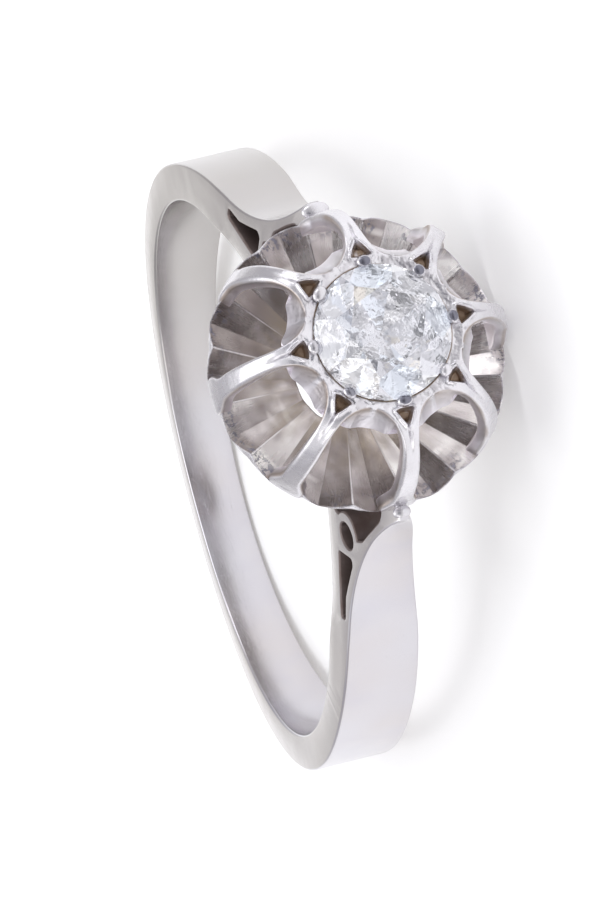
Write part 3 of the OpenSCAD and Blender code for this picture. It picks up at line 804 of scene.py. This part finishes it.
def cut_finish():
    """Bright-cut white gold of the cup: each flank painted lit or shaded, grey-brown to cream, with streaks
    along it, painted glints, olive dirt in the depth, painted highlights on ridges and lip, a speckled rim
    and painted shade outside."""
    made, f = material("white_gold_cut")
    inside, tone, out = f.mark("inside"), f.mark("tone"), f.mark("out")
    around, ridge = f.mark("around"), f.mark("ridge")
    spot = f.place()
    lines = f.noise(f.join(around * 46.0, out * 0.8, tone * 9.0), 1.0, 3.0, 0.6)
    bands = f.noise(f.join(around * 4.0, out * 1.1, tone * 31.0), 1.0, 1.5, 0.5)
    blotch = f.noise(f.join(around * 9.0, out * 1.1, tone * 5.0), 1.0, 3.0, 0.6)
    # Each flank's colour follows its tone: painted light and shade, with chance variation
    flanks = f.stops(FLANK_LIGHT_AND_SHADE, tone * 0.8 + (bands - 0.5) * 1.5 + 0.08)
    colour = f.mix(lines.ramp(0.55, 0.75) * 0.12, flanks, STREAK)
    deep = (1.0 - out.ramp(2.0, 3.4)) * inside
    colour = f.mix(deep * blotch.ramp(0.35, 0.6) * 0.75, colour, OLIVE_SOIL)
    # Painted glints: bright flashes on the lighter flanks
    glint = f.noise(f.join(around * 2.2, out * 1.6, 4.0), 1.0, 1.0).ramp(0.6, 0.68)
    colour = f.mix(glint * tone.ramp(0.3, 0.6) * inside * 0.75, colour, GLINT_HIGHLIGHT)
    patch = f.noise(spot, 1.1, 1.0).ramp(0.42, 0.55)
    speck = f.noise(spot, 6.0, 4.0, 0.7).ramp(0.52, 0.57) * out.ramp(3.7, 4.1) * patch
    colour = f.mix(speck * inside * 0.85, colour, SPECK)
    # Painted highlights: bright ridges and a bright line along the rim's lip
    ridge = ridge.ramp(0.1, 0.7) * out.ramp(2.0, 3.0)
    colour = f.mix(ridge * 0.85, colour, RIDGE_HIGHLIGHT)
    colour = f.mix(out.ramp(4.29, 4.33) * inside.ramp(0.0, 0.3), colour, GOLD_BRIGHT)
    # Painted shade on the cup's outside, brownish towards the middle
    under = f.mix(out.ramp(3.0, 4.0), UNDERSIDE_SHADE, GOLD_LIGHT)
    colour = f.mix(1.0 - inside.ramp(0.0, 0.3), colour, under)
    rough = 0.2 + lines * 0.1 * inside + blotch * 0.06 - ridge * 0.08
    height = lines * 0.25 * inside + f.noise(spot, 5.0, 3.0) * 0.4 + speck * 0.6
    metal_output(f, colour, rough, height, 0.012)
    return made


def crown_finish(name, dull=0.0):
    """Polished white gold of the arms, collar and beads, dull by that much more, with brown dirt and
    painted shade in pits, gaps and along edges, a painted highlight on the walls behind and a painted dark
    reflection on some beads' caps."""
    made, f = material(name)
    spot = f.place()
    grime, collar = f.mark("grime"), f.mark("collar")
    colour = f.mix(f.noise(spot, 0.6, 3.0).ramp(0.4, 0.65), GOLD_BRIGHT, GOLD_LIGHT)
    colour = f.mix(f.noise(spot, 1.4, 2.0).ramp(0.55, 0.75) * 0.5, colour, GOLD_LILAC)
    cuts = f.noise(spot, 3.0, 2.0, 0.55)
    colour = f.mix(cuts.ramp(0.5, 0.62) * collar * 0.4, colour, COLLAR_CUT)
    # Painted dark reflection on the caps of the beads whose tone is low
    dark_reflection = (1.0 - f.mark("tone").ramp(0.5, 0.6)) * f.mark("cap").ramp(0.6, 0.75)
    colour = f.mix(dark_reflection * 0.9, colour, BEAD_DARK_REFLECTION)
    # Brown for dirt and painted shade in the pits, at the collar's gap and along the edges
    in_pits = grime.ramp(0.4, 0.9) * f.noise(spot, 5.0, 3.0).ramp(0.15, 0.5)
    soil_and_shade = in_pits + grime * f.noise(spot, 0.5, 2.0).ramp(0.42, 0.6)
    # Painted highlight on the crown's walls behind the face, such as at the windows' inner ends
    wall = f.mark("wall")
    colour = f.mix(wall * 0.9, colour, WALL_HIGHLIGHT)
    colour = f.mix(soil_and_shade.clamp(), colour, GRIME_AND_SHADE)
    rough = 0.21 + wall * 0.09 + f.noise(spot, 3.0, 4.0, 0.6) * 0.12 + soil_and_shade * 0.3 + dull
    height = f.noise(spot, 1.8, 2.0, 0.5) * 0.7 + f.noise(spot, 22.0, 2.0) * 0.04 + cuts * collar * 1.8
    metal_output(f, colour, rough, height, 0.035)
    return made


def diamond_finish():
    """Clear diamond: glass of high index, each facet with a painted tint for its reflections, and a faint
    painted glow of fire.
    """
    made, f = material("diamond")
    spot, tone = f.place(), f.mark("tone")
    polish = f.noise(spot, 12.0, 3.0).ramp(0.45, 0.8) * 0.04 + 0.035
    waves = f.noise(spot, 2.4, 2.0) * f.mark("below")
    bump = f.node("ShaderNodeBump", {}, {"Strength": 1.0, "Distance": 0.026 * MM, "Height": waves})
    # Each facet's base colour is a painted reflection, and its emission a faint painted glow of fire
    shader = f.node("ShaderNodeBsdfPrincipled", {}, {
        "Base Color": f.stops(FACET_REFLECTIONS, tone), "Roughness": polish, "IOR": DIAMOND_IOR,
        "Transmission Weight": 1.0, "Normal": bump, "Emission Color": f.stops(FIRE_GLOW, tone),
        "Emission Strength": 0.035})
    f.node("ShaderNodeOutputMaterial", {}, {"Surface": shader})
    return made


def make_floor():
    """A plain pale floor, 3 m square, that is a little bright by itself."""
    half = 1.5
    corners = [(-half, -half, 0), (half, -half, 0), (half, half, 0), (-half, half, 0)]
    mesh = bpy.data.meshes.new("floor")
    mesh.from_pydata(corners, [], [(0, 1, 2, 3)])
    floor = add_object("floor", mesh)
    made, f = material("pale_floor")
    colour = f.mix(f.noise(f.place(), 0.02, 2.0), (0.93, 0.93, 0.935), (0.96, 0.96, 0.96))
    shader = f.node("ShaderNodeBsdfPrincipled", {}, {
        "Base Color": colour, "Roughness": 0.8, "Specular IOR Level": 0.2,
        "Emission Color": (1.0, 1.0, 1.0, 1.0), "Emission Strength": 0.18})
    f.node("ShaderNodeOutputMaterial", {}, {"Surface": shader})
    mesh.materials.append(made)


# The camera in the ring's own frame, in mm: where it stands, which way it looks and which way is up.
CAMERA_AT = np.array([167.94, -41.37, -28.71])
CAMERA_WAY = np.array([-0.9566, 0.2409, 0.1642])
CAMERA_UP = np.array([0.2200, 0.2268, 0.9488])
FOCAL_PX, LONG_SIDE_PX = 5646.4, 900


def make_camera():
    """The photo's view of the ring, kept as the ring lies."""
    data = bpy.data.cameras.new("camera")
    camera = add_object("camera", data)
    data.sensor_width = 36.0
    data.lens = data.sensor_width * FOCAL_PX / LONG_SIDE_PX
    data.clip_start, data.clip_end = 0.01, 10.0
    back = -Vector(CAMERA_WAY @ REST).normalized()
    right = Vector(CAMERA_UP @ REST).cross(back).normalized()
    turn = Matrix((right, back.cross(right), back)).transposed().to_4x4()
    camera.matrix_world = Matrix.Translation(Vector(at_rest(CAMERA_AT))) @ turn
    bpy.context.scene.camera = camera


def soft_light(name, place, size, power, tint=(1, 1, 1)):
    """A square soft box, in metres and watts, that faces the ring."""
    data = bpy.data.lights.new(name, "AREA")
    data.shape, data.size, data.energy, data.color = "SQUARE", size, power, tint
    lamp = add_object(name, data)
    lamp.location = place
    lamp.rotation_euler = (-Vector(place)).to_track_quat("-Z", "Y").to_euler()


# The room's light, from below to above, and the dark round the camera
ROOM = [(0.0, (0.9, 0.9, 0.9)), (0.5, (0.86, 0.85, 0.85)), (0.6, (0.66, 0.65, 0.67)),
        (0.72, (0.5, 0.49, 0.52)), (0.86, (0.9, 0.9, 0.93)), (1.0, (1.0, 1.0, 1.02))]
ROOM_DARK = (0.2, 0.2, 0.23)


def make_lights():
    """Soft studio light: a wide box overhead, one to each side, and a room that is pale below and
    overhead, greyer between, and darkest where the photographer stands."""
    soft_light("over", (0.1, 0.15, 0.9), 0.9, 2.6)
    soft_light("left", (-0.8, -0.3, 0.45), 0.5, 0.95, (1.0, 0.985, 0.96))
    soft_light("right", (0.75, -0.35, 0.4), 0.45, 1.0, (0.97, 0.975, 1.0))
    world = bpy.data.worlds.new("room")
    bpy.context.scene.world = world
    world.use_nodes = True
    f = Finish(world.node_tree)
    way = f.node("ShaderNodeTexCoord", {}, {}, "Generated")
    height = f.node("ShaderNodeSeparateXYZ", {}, {0: way}, 2)
    tone = f.stops(ROOM, height * 0.5 + 0.5)
    toward = Vector(at_rest(CAMERA_AT)).normalized()
    facing = f.node("ShaderNodeVectorMath", {"operation": "DOT_PRODUCT"}, {0: way, 1: tuple(toward)}, 1)
    tone = f.mix(facing.ramp(0.955, 0.985), tone, ROOM_DARK)
    light = f.node("ShaderNodeBackground", {}, {"Color": tone, "Strength": 0.95})
    f.node("ShaderNodeOutputWorld", {}, {"Surface": light})
    bpy.context.scene.view_settings.view_transform = "Standard"


make_camera()
make_floor()
make_lights()

band, cut = band_finish(), cut_finish()
# The seat's finish is duller, and its mark paints the whole seat brown with dirt and painted shade
crown, shaded_and_soiled = crown_finish("white_gold_crown"), crown_finish("white_gold_seat", 0.2)
for make, finish in ((make_shank, band), (make_cup, cut), (make_crown, crown), (make_arm_ends, crown),
                     (make_beads, crown), (make_seat, shaded_and_soiled)):
    piece = make()
    piece.data.materials.clear()
    piece.data.materials.append(finish)
    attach(piece, "root")
    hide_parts("mounting")

stone = make_stone()
stone.data.materials.append(diamond_finish())
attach(stone, "root")
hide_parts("stone")
